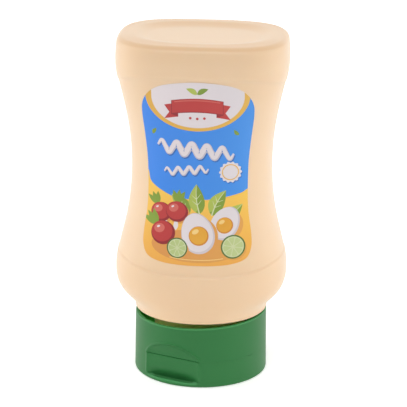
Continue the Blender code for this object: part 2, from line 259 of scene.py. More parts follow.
class CapSettings(PropertyGroup):
    """Sizes and colour of the two-piece moulded cap."""
    seam_height: FloatProperty(name="Seam height", description="Joint between cap body and lid",
                               default=10.1 * MM, min=6.0 * MM, max=14.0 * MM,
                               subtype="DISTANCE", unit="LENGTH")
    colour: FloatVectorProperty(name="Plastic", description="Colour of the cap",
                                default=hex_to_linear("297239"), size=3, min=0.0, max=1.0,
                                subtype="COLOR")


class StageSettings(PropertyGroup):
    """Floor, light and camera."""
    floor_size: FloatProperty(name="Floor size", description="Side of the square floor",
                              default=6.0, min=1.0, subtype="DISTANCE", unit="LENGTH")
    camera_distance: FloatProperty(name="Camera distance", description="From the camera to its aim",
                                   default=0.86, min=0.2, subtype="DISTANCE", unit="LENGTH")
    camera_side: FloatProperty(name="Camera side", description="Angle from the front towards +X",
                               default=math.radians(4.9), subtype="ANGLE", unit="ROTATION")
    camera_rise: FloatProperty(name="Camera rise", description="Angle above the horizon",
                               default=math.radians(18.0), subtype="ANGLE", unit="ROTATION")


# Nodes and materials

def fill(tree, node, values=None, links=None):
    """Sets up a node. A value goes to the socket of that name or number, or to the attribute."""
    for name, value in (values or {}).items():
        if isinstance(name, int) or name in node.inputs:
            node.inputs[name].default_value = value
        else:
            setattr(node, name, value)
    for name, source in (links or {}).items():
        tree.links.new(source, node.inputs[name])
    return node


def add(tree, kind, values=None, links=None):
    """Adds a node with its values and links."""
    return fill(tree, tree.nodes.new(kind), values, links)


def new_material(name):
    material = bpy.data.materials.new(name)
    material.use_nodes = True
    tree = material.node_tree
    return material, tree, tree.nodes["Principled BSDF"]


def blown_polyethylene(settings):
    """High-density polyethylene, extrusion blow-moulded: opaque, satin and a little waxy.

    The wall's thickness varies softly, the parison leaves fine upright streaks, and the blasted
    mould leaves a faint pebble that spreads the highlights and pales the plastic at its edges.
    At the shoulder and at the flat end's corner and ring the plastic's colour is darkened as
    painted shade.
    The neck is painted a brighter, yellower tint that stands in for light reaching it through the
    green cap.
    """
    material, tree, shader = new_material("hdpe_blow_moulded")
    place = add(tree, "ShaderNodeTexCoord").outputs["Object"]
    height = add(tree, "ShaderNodeSeparateXYZ", None, {0: place}).outputs[2]
    wall = add(tree, "ShaderNodeTexNoise", {"Scale": per_metre(22.0), "Detail": 2.0},
               {"Vector": place})
    tone = add(tree, "ShaderNodeMix", {"data_type": "RGBA", 6: rgba(settings.colour),
                                       7: rgba(settings.warm)}, {0: wall.outputs[0]}).outputs[2]
    long_way = add(tree, "ShaderNodeMapping", {"Scale": (1.0, 1.0, 0.03)}, {"Vector": place})
    streaks = add(tree, "ShaderNodeTexNoise", {"Scale": per_metre(2.4), "Detail": 1.0},
                  {"Vector": long_way.outputs[0]})
    pebble = add(tree, "ShaderNodeTexNoise", {"Scale": per_metre(0.9), "Detail": 2.0},
                 {"Vector": place})
    satin = add(tree, "ShaderNodeMapRange", {"To Min": 0.40, "To Max": 0.50},
                {"Value": pebble.outputs[0]})
    fine = add(tree, "ShaderNodeBump", {"Strength": 1.0, "Distance": 0.006 * MM},
               {"Height": pebble.outputs[0]})
    relief = add(tree, "ShaderNodeBump", {"Strength": 1.0, "Distance": 0.02 * MM},
                 {"Height": streaks.outputs[0], "Normal": fine.outputs[0]})
    at_corner, at_ring, at_shoulder, in_cap_painted_tint = [
        add(tree, "ShaderNodeMapRange", {"From Min": start, "From Max": full, "To Max": most},
            {"Value": height}).outputs[0]
        for start, full, most in (CORNER_PAINTED_SHADE, RING_PAINTED_SHADE, SHOULDER_PAINTED_SHADE, IN_CAP_PAINTED_ZONE)]
    flat = add(tree, "ShaderNodeVectorMath", {"operation": "MULTIPLY", 1: END_OVAL}, {0: place})
    reach = add(tree, "ShaderNodeVectorMath", {"operation": "LENGTH"}, {0: flat.outputs[0]})
    aside = add(tree, "ShaderNodeMapRange", {"interpolation_type": "SMOOTHSTEP",
                                             "From Min": END_FADE[0], "From Max": END_FADE[1]},
                {"Value": reach.outputs[1]})
    at_end = add(tree, "ShaderNodeMath", None, {0: at_corner, 1: at_ring})
    painted_shade = add(tree, "ShaderNodeMath", {"operation": "MULTIPLY_ADD"},
               {0: aside.outputs[0], 1: at_end.outputs[0], 2: at_shoulder}).outputs[0]
    # painted shade darkens the plastic at the shoulder and at the end's corner and ring; the neck
    # gets a painted tint for light through the cap
    for colour, mask in ((tinted(settings.colour, PAINTED_SHADE_SHARES), painted_shade),
                         (hex_to_linear(NECK_PAINTED_TINT), in_cap_painted_tint)):
        tone = add(tree, "ShaderNodeMix", {"data_type": "RGBA", 7: rgba(colour)},
                   {0: mask, 6: tone}).outputs[2]
    fill(tree, shader, {"IOR": 1.5, "Sheen Weight": 0.26, "Sheen Roughness": 0.5,
                        "Subsurface Weight": 0.15, "Subsurface Radius": (1.0, 0.6, 0.35),
                        "Subsurface Scale": 1.5 * MM},
         {"Base Color": tone, "Roughness": satin.outputs[0], "Normal": relief.outputs[0]})
    return material


def moulded_polypropylene(name, settings):
    """Polypropylene with green masterbatch, injection-moulded: even colour and a smooth satin.

    Pigment swirls give slow changes of tone, and the polished mould leaves a light orange peel.
    Painted highlights: the rim's top edge and the thumb catch's lip crest are painted paler.
    Painted light: the cavity round the neck is painted a brighter green.
    """
    material, tree, shader = new_material(name)
    place = add(tree, "ShaderNodeTexCoord").outputs["Object"]
    axes = add(tree, "ShaderNodeSeparateXYZ", None, {0: place}).outputs
    turned = add(tree, "ShaderNodeMapping", {"Rotation": (0.0, 0.0, -CATCH_TURN)},
                 {"Vector": place})
    from_catch_axes = add(tree, "ShaderNodeSeparateXYZ", None, {0: turned.outputs[0]}).outputs
    aside = add(tree, "ShaderNodeMath", {"operation": "ABSOLUTE"}, {0: from_catch_axes[0]})
    flat = add(tree, "ShaderNodeVectorMath", {"operation": "MULTIPLY", 1: (1.0, 1.0, 0.0)},
               {0: place})
    reach = add(tree, "ShaderNodeVectorMath", {"operation": "LENGTH"},
                {0: flat.outputs[0]}).outputs[1]
    # What bounds the painted highlight on the lip's crest, and in mm where it starts and where it
    # is full
    lip_highlight_bounds = ((from_catch_axes[1], -20.0, -21.0), (axes[2], 0.8, 1.25),
                  (axes[2], 1.95, 1.82), (aside.outputs[0], 11.0, 10.0), (reach, 23.4, 23.9))
    crest = None
    for source, start, full in lip_highlight_bounds:
        bound = add(tree, "ShaderNodeMapRange", {"From Min": start * MM, "From Max": full * MM},
                    {"Value": source}).outputs[0]
        if crest is None:
            crest = bound
        else:
            crest = add(tree, "ShaderNodeMath", {"operation": "MULTIPLY"},
                        {0: crest, 1: bound}).outputs[0]
    # painted highlight along the rim's top edge
    level = add(tree, "ShaderNodeMath", {"operation": "MULTIPLY_ADD",
                                         1: -RIM_SLOPE / CAP_RIM_RADIUS}, {0: axes[0], 2: axes[2]})
    rim_top = CAP_RIM_HEIGHT + RIM_LIFT
    rim_painted_highlight = add(tree, "ShaderNodeMapRange", {"From Min": rim_top - 0.6 * MM,
                                                 "From Max": rim_top - 0.3 * MM},
                    {"Value": level.outputs[0]})
    painted_highlights = add(tree, "ShaderNodeMath", None, {0: crest, 1: rim_painted_highlight.outputs[0]})
    # painted light: the cavity round the neck is painted a brighter green
    hollow = add(tree, "ShaderNodeMapRange", {"From Min": 24.3 * MM, "From Max": 24.0 * MM},
                 {"Value": reach})
    above = add(tree, "ShaderNodeMapRange", {"From Min": CAP_CAVITY_FLOOR - 0.3 * MM,
                                             "From Max": CAP_CAVITY_FLOOR - 0.1 * MM},
                {"Value": axes[2]})
    cavity = add(tree, "ShaderNodeMath", {"operation": "MULTIPLY"},
                 {0: hollow.outputs[0], 1: above.outputs[0]})
    swirl = add(tree, "ShaderNodeTexNoise", {"Scale": per_metre(9.0), "Detail": 3.0,
                                             "Distortion": 0.6}, {"Vector": place})
    tone = add(tree, "ShaderNodeMix", {"data_type": "RGBA", 7: rgba(settings.colour),
                                       6: rgba(tinted(settings.colour, SWIRL_DARKER))},
               {0: swirl.outputs[0]}).outputs[2]
    # mixes in the painted highlights and the cavity's painted light
    for shares, mask in ((CREST_PAINTED_HIGHLIGHT, painted_highlights), (CAVITY_PAINTED_LIGHT, cavity)):
        tone = add(tree, "ShaderNodeMix", {"data_type": "RGBA",
                                           7: rgba(tinted(settings.colour, shares))},
                   {0: mask.outputs[0], 6: tone}).outputs[2]
    peel = add(tree, "ShaderNodeTexNoise", {"Scale": per_metre(0.7), "Detail": 2.0},
               {"Vector": place})
    satin = add(tree, "ShaderNodeMapRange", {"To Min": 0.43, "To Max": 0.51},
                {"Value": peel.outputs[0]})
    relief = add(tree, "ShaderNodeBump", {"Strength": 1.0, "Distance": 0.005 * MM},
                 {"Height": peel.outputs[0]})
    fill(tree, shader, {"IOR": 1.49, "Specular IOR Level": 0.32},
         {"Base Color": tone, "Roughness": satin.outputs[0], "Normal": relief.outputs[0]})
    return material


def varnished_print(name, first, second, axis, start, end):
    """Offset ink on white polypropylene film under a gloss varnish, from one tone to another.

    The tone runs along an axis between two places in mm. Real print is screened at 0.15 mm, too
    fine to show, so its mottle is drawn at 0.6 mm. The film keeps a slight waviness.
    """
    material, tree, shader = new_material(name)
    place = add(tree, "ShaderNodeTexCoord").outputs["Object"]
    axes = add(tree, "ShaderNodeSeparateXYZ", None, {0: place})
    along = add(tree, "ShaderNodeMapRange", {"From Min": start * MM, "From Max": end * MM},
                {"Value": axes.outputs[axis]})
    mottle = add(tree, "ShaderNodeTexNoise", {"Scale": per_metre(0.6), "Detail": 3.0},
                 {"Vector": place})
    grain = add(tree, "ShaderNodeMapRange", {"To Min": -0.12, "To Max": 0.12},
                {"Value": mottle.outputs[0]})
    share = add(tree, "ShaderNodeMath", {"operation": "ADD", "use_clamp": True},
                {0: along.outputs[0], 1: grain.outputs[0]})
    tone = add(tree, "ShaderNodeMix", {"data_type": "RGBA", 6: rgba(first), 7: rgba(second)},
               {0: share.outputs[0]})
    wave = add(tree, "ShaderNodeTexNoise", {"Scale": per_metre(5.0)}, {"Vector": place})
    relief = add(tree, "ShaderNodeBump", {"Strength": 1.0, "Distance": 0.02 * MM},
                 {"Height": wave.outputs[0]})
    gloss = add(tree, "ShaderNodeMapRange", {"To Min": 0.36, "To Max": 0.44},
                {"Value": mottle.outputs[0]})
    fill(tree, shader, {"IOR": 1.49}, {"Base Color": tone.outputs[2],
                                       "Roughness": gloss.outputs[0],
                                       "Normal": relief.outputs[0]})
    return material


def painted_glow_floor():
    """Opal acrylic, cast and sanded matt: pale, with a painted glow in place of light from below.

    Its painted glow thins the shadow round the foot and grows with the distance, so that no
    horizon shows. Its front is painted a little greyer, as painted shade. The sanding leaves a soft
    stipple.
    """
    material, tree, shader = new_material("acrylic_opal_sanded")
    place = add(tree, "ShaderNodeTexCoord").outputs["Object"]
    along = add(tree, "ShaderNodeSeparateXYZ", None, {0: place}).outputs[1]
    roller = add(tree, "ShaderNodeTexNoise", {"Scale": per_metre(3.0), "Detail": 2.0},
                 {"Vector": place})
    tone = add(tree, "ShaderNodeMix", {"data_type": "RGBA", 6: rgba(hex_to_linear("FBFBFA")),
                                       7: rgba(hex_to_linear("FDFDFD"))}, {0: roller.outputs[0]})
    stipple = add(tree, "ShaderNodeBump", {"Strength": 1.0, "Distance": 0.01 * MM},
                  {"Height": roller.outputs[0]})
    start, full, strength = NEAR_PAINTED_GLOW
    lit = add(tree, "ShaderNodeMapRange", {"interpolation_type": "SMOOTHSTEP", "From Min": start,
                                           "From Max": full}, {"Value": along})
    start, full, most = FAR_PAINTED_GLOW
    far = add(tree, "ShaderNodeMapRange", {"interpolation_type": "SMOOTHSTEP", "From Min": start,
                                           "From Max": full, "To Max": most}, {"Value": along})
    # painted glow: emission that lights the floor though it is no lamp
    glow = add(tree, "ShaderNodeMath", {"operation": "MULTIPLY_ADD", 1: strength},
               {0: lit.outputs[0], 2: far.outputs[0]})
    tone = add(tree, "ShaderNodeMix", {"data_type": "RGBA", 6: rgba(TABLE_FRONT_PAINTED_SHADE)},
               {0: lit.outputs[0], 7: tone.outputs[2]})
    fill(tree, shader, {"Roughness": 0.9, "Emission Color": (1.0, 1.0, 1.0, 1.0)},
         {"Emission Strength": glow.outputs[0], "Base Color": tone.outputs[2],
          "Normal": stipple.outputs[0]})
    return material


# Meshes

def put(name, data):
    """A new object with this data in the scene."""
    item = bpy.data.objects.new(name, data)
    bpy.context.scene.collection.objects.link(item)
    return item


def make_piece(name, points, faces, materials, inks=None):
    """A smooth-shaded piece on the root body. inks gives each face's material number."""
    mesh = bpy.data.meshes.new(name)
    mesh.from_pydata([tuple(point) for point in points], [], faces)
    if mesh.validate():
        raise RuntimeError("the mesh of " + name + " has faulty faces")
    for material in materials:
        mesh.materials.append(material)
    if inks is not None:
        mesh.polygons.foreach_set("material_index", inks)
    mesh.shade_smooth()
    piece = put(name, mesh)
    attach(piece, "root")
    return piece


def skin(rows):
    """Points and faces of a closed skin through rings of equal length, from tip to tip.

    The first and the last row are single points.
    """
    count = len(rows[1])
    points = [rows[0]] + [point for row in rows[1:-1] for point in row] + [rows[-1]]
    last = len(points) - 1
    faces = []
    for column in range(count):
        after = (column + 1) % count
        faces.append((0, 1 + after, 1 + column))
        for ring in range(len(rows) - 3):
            low = 1 + ring * count
            faces.append((low + column, low + after, low + count + after, low + count + column))
        top = 1 + (len(rows) - 3) * count
        faces.append((top + column, top + after, last))
    return points, faces


def natural_spline(knots, values):
    """A smooth curve through the values, straight at both ends, as a function of height."""
    knots = np.array(knots)
    values = np.array(values)
    spans = np.diff(knots)
    count = len(knots)
    matrix = np.identity(count)
    right = np.zeros(count)
    for i in range(1, count - 1):
        matrix[i, i - 1:i + 2] = (spans[i - 1], 2.0 * (spans[i - 1] + spans[i]), spans[i])
        slope_after = (values[i + 1] - values[i]) / spans[i]
        slope_before = (values[i] - values[i - 1]) / spans[i - 1]
        right[i] = 6.0 * (slope_after - slope_before)
    bend = np.linalg.solve(matrix, right)

    def curve(height):
        height = np.clip(height, knots[0], knots[-1])
        i = np.clip(np.searchsorted(knots, height, side="right") - 1, 0, count - 2)
        before = (knots[i + 1] - height) / spans[i]
        after = (height - knots[i]) / spans[i]
        bow = (before ** 3 - before) * bend[i] + (after ** 3 - after) * bend[i + 1]
        return before * values[i] + after * values[i + 1] + bow * spans[i] ** 2 / 6.0

    return curve


HEIGHTS = [station[0] for station in BOTTLE_STATIONS]
half_width_at = natural_spline(HEIGHTS, [station[1] for station in BOTTLE_STATIONS])
half_depth_at = natural_spline(HEIGHTS, [station[2] for station in BOTTLE_STATIONS])
exponent_at = natural_spline(HEIGHTS, [station[3] for station in BOTTLE_STATIONS])


def smooth_step(share):
    share = np.clip(share, 0.0, 1.0)
    return share * share * (3.0 - 2.0 * share)


# Bottle

def oval_radius(angle, half_width, half_depth, exponent):
    """Distance from the axis to the oval in the direction of an angle from +X."""
    across = np.abs(np.cos(angle) / half_width) ** exponent
    along = np.abs(np.sin(angle) / half_depth) ** exponent
    return (across + along) ** (-1.0 / exponent)


def border_arch(angle, power):
    """1 at the middle of the front and back, 0 at the sides."""
    middle = BOTTLE_STATIONS[len(BOTTLE_STATIONS) // 2]
    radius = oval_radius(angle, middle[1], middle[2], middle[3])
    return 1.0 - np.abs(radius * np.cos(angle) / middle[1]) ** power


def panel_depth(side_ratio, depth):
    """Depth of the label panel where X is a share of the half width."""
    return depth * (1.0 - (1.0 - PANEL_SIDE_SHARE) * np.abs(side_ratio) ** PANEL_SIDE_FADE)


def ring(angle, radius, height):
    """One row of points from arrays of angle, radius and height."""
    height = np.broadcast_to(height, angle.shape)
    return np.stack([radius * np.cos(angle), radius * np.sin(angle), height], 1)


def oval_ring(angle, height, half_width, half_depth, exponent):
    return ring(angle, oval_radius(angle, half_width, half_depth, exponent), height)


def parting_line(radius, angle):
    """The wall's radius with the mould's fine parting line standing on both sides."""
    across = radius * np.sin(angle)
    crest = np.exp(-(across / PARTING_HALF_WIDTH) ** 2)
    return radius - PARTING_HEIGHT * (1.0 - crest)


def wall_ring(angle, border, sunk, depth):
    """One row on the side wall, along a border. sunk is 1 in the label panel and 0 outside it."""
    side, front, power = border
    height = side + (front - side) * border_arch(angle, power)
    half_width = half_width_at(height)
    radius = oval_radius(angle, half_width, half_depth_at(height), exponent_at(height))
    radius = radius - sunk * panel_depth(radius * np.cos(angle) / half_width, depth)
    return ring(angle, parting_line(radius, angle), height)


def wall_rings(angle, first, last, count, sunk, depth):
    """Rows between two borders. sunk turns a share of the way into the panel's share."""
    rows = []
    for step in range(count):
        share = step / count
        border = [a + (b - a) * share for a, b in zip(first, last)]
        rows.append(wall_ring(angle, border, sunk(share), depth))
    return rows


def raised(border, lift):
    return (border[0] + lift, border[1] + lift, border[2])


def bottle_rings(settings):
    """All rows of the bottle from the neck's end to the middle of the dish."""
    beside_seam = np.radians((-1.1, -0.75, -0.5, -0.3, -0.15, 0.15, 0.3, 0.5, 0.75, 1.1))
    even = np.arange(settings.columns) * 2.0 * math.pi / settings.columns
    angle = np.unique(np.concatenate([even, beside_seam % (2.0 * math.pi), math.pi + beside_seam]))
    depth = settings.panel_depth
    edge_width, edge_depth, edge_exponent = BOTTLE_STATIONS[0][1:]
    under = SHOULDER_UNDER
    base = under + SHOULDER_FILLET
    rows = [(0.0, 0.0, NECK_END)]
    for share in (0.4, 0.8, 0.94):
        rows.append(oval_ring(angle, NECK_END, share * NECK_RADIUS, share * NECK_RADIUS, 2.0))
    for turn in np.radians((0.0, 30.0, 60.0, 90.0)):
        reach = NECK_RADIUS - NECK_EDGE * (1.0 - math.sin(turn))
        height = NECK_END + NECK_EDGE * (1.0 - math.cos(turn))
        rows.append(oval_ring(angle, height, reach, reach, 2.0))
    for height in np.linspace(NECK_STRAIGHT, under - NECK_FILLET, 6):
        rows.append(oval_ring(angle, height, NECK_RADIUS, NECK_RADIUS, 2.0))
    for turn in np.radians((18.0, 36.0, 54.0, 72.0, 90.0)):
        reach = NECK_RADIUS + NECK_FILLET * (1.0 - math.cos(turn))
        height = under - NECK_FILLET * (1.0 - math.sin(turn))
        rows.append(oval_ring(angle, height, reach, reach, 2.0))
    foot = NECK_RADIUS + NECK_FILLET
    for share in (0.3, 0.7):
        rows.append(oval_ring(angle, under, foot + share * (edge_width - SHOULDER_FILLET - foot),
                              foot + share * (edge_depth - SHOULDER_FILLET - foot),
                              2.0 + share * (edge_exponent - 2.0)))
    for turn in np.radians(np.linspace(0.0, 81.0, 8)):
        inset = SHOULDER_FILLET * (1.0 - math.sin(turn))
        height = base - SHOULDER_FILLET * math.cos(turn)
        rows.append(oval_ring(angle, height, edge_width - inset, edge_depth - inset, edge_exponent))
    low_edge = raised(PANEL_LOW, -0.5 * LOW_STEP)
    low_in = raised(PANEL_LOW, 0.5 * LOW_STEP)
    high_in = raised(PANEL_HIGH, -HIGH_START)
    high_edge = raised(high_in, HIGH_STEP)
    shoulder_edge = (base, base, PANEL_LOW[2])
    corner_base = (HEIGHTS[-1], HEIGHTS[-1], PANEL_HIGH[2])
    rows += wall_rings(angle, shoulder_edge, low_edge, 34, lambda share: 0.0, depth)
    rows += wall_rings(angle, low_edge, low_in, 9, smooth_step, depth)
    rows += wall_rings(angle, low_in, high_in, 76, lambda share: 1.0, depth)
    rows += wall_rings(angle, high_in, high_edge, 12, lambda share: (1.0 - share) ** 2, depth)
    rows += wall_rings(angle, high_edge, corner_base, 14, lambda share: 0.0, depth)
    rows += end_rings(angle)
    return rows


def end_rings(angle):
    """Rounded corner, standing ring and dish of the bottle's flat end."""
    corner_base, half_width, half_depth, exponent = BOTTLE_STATIONS[-1]
    top = corner_base + END_CORNER
    rows = []
    for turn in np.radians(np.linspace(0.0, 90.0, 11)):
        inset = END_CORNER * (1.0 - math.cos(turn))
        radius = oval_radius(angle, half_width - inset, half_depth - inset, exponent)
        if turn < math.radians(70.0):
            radius = parting_line(radius, angle)
        rows.append(ring(angle, radius, corner_base + (END_CORNER - RING_FALL) * math.sin(turn)))
    outer_width = half_width - END_CORNER
    outer_depth = half_depth - END_CORNER
    for share in (0.2, 0.4, 0.6, 0.8):
        height = top - RING_FALL * (1.0 - smooth_step(share))
        rows.append(oval_ring(angle, height, outer_width + share * (DISH_HALF_WIDTH - outer_width),
                              outer_depth + share * (DISH_HALF_DEPTH - outer_depth),
                              exponent + share * (DISH_EXPONENT - exponent)))
    for share in np.linspace(0.0, 1.0, 12):
        inset = DISH_SLOPE * share
        rows.append(oval_ring(angle, top - DISH_DROP * smooth_step(share), DISH_HALF_WIDTH - inset,
                              DISH_HALF_DEPTH - inset, DISH_EXPONENT))
    floor_width = DISH_HALF_WIDTH - DISH_SLOPE
    floor_depth = DISH_HALF_DEPTH - DISH_SLOPE
    for share in np.linspace(0.96, 0.04, 22):
        rows.append(oval_ring(angle, top - DISH_DROP, share * floor_width, share * floor_depth,
                              2.0 + share * (DISH_EXPONENT - 2.0)))
    rows.append((0.0, 0.0, top - DISH_DROP))
    return rows


def vent_pip(points, faces):
    """Adds the mark of the mould's vent in the dish: a low dome that sinks into its floor."""
    start = len(points)
    floor = BOTTLE_STATIONS[-1][0] + END_CORNER - DISH_DROP
    crown = [(0.0, PIP_HEIGHT), (0.45, 0.85 * PIP_HEIGHT), (0.8, 0.4 * PIP_HEIGHT),
             (1.0, -0.5 * PIP_HEIGHT), (0.0, -0.5 * PIP_HEIGHT)]
    turns = np.arange(16) * math.pi / 8.0
    rows = [(PIP_PLACE[0], PIP_PLACE[1], floor + crown[-1][1])]
    for share, lift in crown[-2:0:-1]:
        row = ring(turns, share * PIP_RADIUS, floor + lift)
        rows.append(row + np.array((PIP_PLACE[0], PIP_PLACE[1], 0.0)))
    rows.append((PIP_PLACE[0], PIP_PLACE[1], floor + crown[0][1]))
    pip_points, pip_faces = skin(rows)
    faces += [tuple(start + corner for corner in face) for face in pip_faces]
    points += pip_points


def build_bottle(settings):
    points, faces = skin(bottle_rings(settings))
    vent_pip(points, faces)
    piece = make_piece("bottle_body", points, faces, [blown_polyethylene(settings)])
    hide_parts("bottle")


# Label shapes, drawn flat in mm: x to the right, z up

def catmull_rom(points, per_span, closed):
    """A smooth line through the points, closed or open."""
    count = len(points)
    spans = count if closed else count - 1
    line = []
    for i in range(spans):
        if closed:
            picks = [points[(i + k) % count] for k in (-1, 0, 1, 2)]
        else:
            picks = [points[min(max(i + k, 0), count - 1)] for k in (-1, 0, 1, 2)]
        p0, p1, p2, p3 = [np.array(pick) for pick in picks]
        for step in range(per_span):
            t = step / per_span
            bend = 2.0 * p0 - 5.0 * p1 + 4.0 * p2 - p3
            twist = 3.0 * (p1 - p2) + p3 - p0
            line.append(tuple(0.5 * (2.0 * p1 + (p2 - p0) * t + bend * t * t + twist * t ** 3)))
    if not closed:
        line.append(tuple(points[-1]))
    return line


def label_outline():
    left = [(-x, z) for x, z in LABEL_HALF_OUTLINE[-2:0:-1]]
    return catmull_rom(list(LABEL_HALF_OUTLINE) + left, 5, True)


def placed(shape, x, z, turn=0.0, scale=1.0):
    """A shape scaled, turned by degrees and moved to its place."""
    c = math.cos(math.radians(turn)) * scale
    s = math.sin(math.radians(turn)) * scale
    return [(x + c * px - s * pz, z + s * px + c * pz) for px, pz in shape]


def oval(half_x, half_z, taper=0.0, count=44):
    """An ellipse, or an egg's outline where taper narrows its upper end."""
    shape = []
    for i in range(count):
        turn = 2.0 * math.pi * i / count
        width = 1.0 - taper * math.sin(turn)
        shape.append((half_x * width * math.cos(turn), half_z * math.sin(turn)))
    return shape


def leaf(length, width, bow=0.0, count=14):
    """A pointed leaf that grows from the origin along +x."""
    right, left = [], []
    for i in range(count + 1):
        t = i / count
        half = 0.5 * width * math.sin(math.pi * t ** 0.8) ** 0.9
        lift = bow * math.sin(math.pi * t)
        right.append((length * t, lift - half))
        left.append((length * t, lift + half))
    return right + left[-2:0:-1]


def band(points, widths, per_span=8):
    """A band along a smooth line, with a width at each of the line's points."""
    line = catmull_rom([(x, z, w) for (x, z), w in zip(points, widths)], per_span, False)
    line = np.array(line)
    ahead = np.gradient(line[:, :2], axis=0)
    ahead /= np.linalg.norm(ahead, axis=1)[:, None]
    side = np.stack([-ahead[:, 1], ahead[:, 0]], 1) * 0.5 * line[:, 2:]
    right = line[:, :2] - side
    left = line[:, :2] + side
    return [tuple(p) for p in right] + [tuple(p) for p in left[::-1]]


def crown_field(x, z, half, drop, count=48):
    """The field inside a hanging half ellipse and above it, turned up a little to the right."""
    shape = []
    for i in range(count + 1):
        turn = math.pi * i / count
        shape.append((-half * math.cos(turn), -drop * math.sin(turn)))
    return placed(shape + [(half, 16.0), (-half, 16.0)], x, z, 1.5)


def spot(ink, half_x, half_z, x, z, turn=0.0):
    """An oval in one ink."""
    return ink, placed(oval(half_x, half_z), x, z, turn)


def egg_half(x, z, size, turn):
    """Half a boiled egg: shaded white, the cut face and a yolk with its light."""
    body = oval(0.78 * size, size, 0.10)
    yolk_x, yolk_z = placed([(0.02 * size, -0.13 * size)], x, z, turn)[0]
    return [
        spot("deep_orange", 0.86 * size, 0.9 * size, x + 0.8, z - 0.9, turn),
        ("white_shade", placed(body, x, z, turn)),
        ("white", placed(body, x - 0.25, z + 0.3, turn, 0.93)),
        spot("deep_yolk", 0.47 * size, 0.47 * size, yolk_x, yolk_z),
        spot("yolk", 0.42 * size, 0.42 * size, yolk_x - 0.15, yolk_z + 0.2),
        spot("pale_yolk", 0.17 * size, 0.11 * size, yolk_x - 0.16 * size, yolk_z + 0.2 * size,
             30.0),
    ]


def radish(x, z, size, turn):
    """A round radish with a white root, three stems and a glint."""
    root = placed([(0.0, -0.72 * size)], x, z, turn)[0]
    stem = placed([(0.0, 0.8 * size)], x, z, turn)[0]
    drawn = [
        spot("deep_orange", size, 0.9 * size, x + 0.6, z - 0.8),
        ("white", placed(leaf(1.25 * size, 0.42 * size, 0.1 * size), *root, turn - 97.0)),
    ]
    for lean in (-24.0, 0.0, 26.0):
        drawn.append(("green", placed(leaf(1.25 * size, 0.5 * size), *stem, turn + 90.0 + lean)))
    return drawn + [
        spot("deep_red", size, 0.94 * size, x, z, turn),
        spot("red", 0.88 * size, 0.82 * size, x - 0.09 * size, z + 0.1 * size, turn),
        spot("light_red", 0.44 * size, 0.36 * size, x - 0.3 * size, z + 0.34 * size, 25.0),
        spot("white", 0.14 * size, 0.08 * size, x - 0.38 * size, z + 0.46 * size, 30.0),
    ]


def lime_slice(x, z, size, turn):
    """A round slice with a green rind, a pale pith and eight wedges of flesh."""
    drawn = [
        spot("deep_orange", size, 0.95 * size, x + 0.5, z - 0.8),
        spot("deep_green", size, size, x, z),
        spot("pale_green", 0.88 * size, 0.88 * size, x, z),
    ]
    wedge = [(0.12, 0.0), (0.55, -0.20), (0.74, -0.23), (0.79, -0.12), (0.80, 0.0), (0.79, 0.12),
             (0.74, 0.23), (0.55, 0.20)]
    for i in range(8):
        drawn.append(("lime_flesh", placed(wedge, x, z, turn + 45.0 * i, size)))
    return drawn


def herb_leaf(x, z, length, turn, bow=0.6):
    """A basil leaf with a lighter half, a midrib and side veins."""
    whole = leaf(length, 0.52 * length, bow)
    half = len(whole) // 2 + 1
    rib = [(length * i / 6.0, bow * math.sin(math.pi * i / 6.0)) for i in range(7)]
    drawn = [
        ("green", placed(whole, x, z, turn)),
        ("light_green", placed(whole[half - 1:] + rib[1:-1], x, z, turn)),
        ("pale_green", placed(band(rib, (0.5, 0.45, 0.4, 0.32, 0.26, 0.2, 0.1), 3), x, z, turn)),
    ]
    for share, side in ((0.3, 1), (0.5, 1), (0.3, -1), (0.5, -1)):
        root = (length * share, bow * math.sin(math.pi * share))
        tip = (root[0] + 0.16 * length, root[1] + side * 0.15 * length)
        drawn.append(("pale_green", placed(band((root, tip), (0.3, 0.1), 2), x, z, turn)))
    return drawn


def red_banner(z, half, height, fall):
    """A blank curved banner with folded swallow tails."""
    def lift(x):
        return z - fall * (x / half) ** 2

    def strip(first, last, up, down):
        xs = np.linspace(first, last, 17)
        return ([(x, lift(x) + up) for x in xs] + [(x, lift(x) + down) for x in xs[::-1]])

    drawn = []
    for side in (-1, 1):
        tail = strip(side * (half - 2.6), side * (half + 2.6), 0.5 * height - 1.3,
                     -0.5 * height - 1.3)
        notch_end = tail[16]
        notch = ((notch_end[0] - side * 1.9), lift(half + 2.6) - 1.3)
        drawn.append(("red", tail[:17] + [notch] + tail[17:]))
        fold = [(side * (half - 2.6), lift(half - 2.6) - 0.5 * height - 1.3),
                (side * half, lift(half) - 0.5 * height),
                (side * (half - 2.6), lift(half - 2.6) - 0.5 * height)]
        drawn.append(("deep_red", fold))
    drawn.append(("deep_red", strip(-half, half, 0.5 * height, -0.5 * height)))
    drawn.append(("red", strip(-half + 0.25, half - 0.25, 0.5 * height - 0.2,
                               -0.5 * height + 0.35)))
    drawn.append(("light_red", strip(-half + 1.2, half - 1.2, 0.5 * height - 0.55,
                                     0.5 * height - 0.95)))
    return drawn


def mayonnaise_line(x, z, half, swing, waves, width, slope):
    """A squeezed line of mayonnaise that waves from left to right, with shade and light."""
    points, widths = [], []
    count = waves * 4
    for i in range(count + 1):
        t = i / count
        points.append((x + half * (2.0 * t - 1.0),
                       z + slope * (2.0 * t - 1.0) + swing * math.sin(0.5 * math.pi * i)))
        widths.append(width * (0.25 + 0.75 * math.sin(math.pi * t) ** 0.5))
    shade = [(px + 0.35, pz - 0.55) for px, pz in points]
    light = [(px - 0.12, pz + 0.2) for px, pz in points]
    return [
        ("deep_blue", band(shade, widths)),
        ("white_shade", band(points, widths)),
        ("white", band(light, [0.72 * w for w in widths])),
    ]


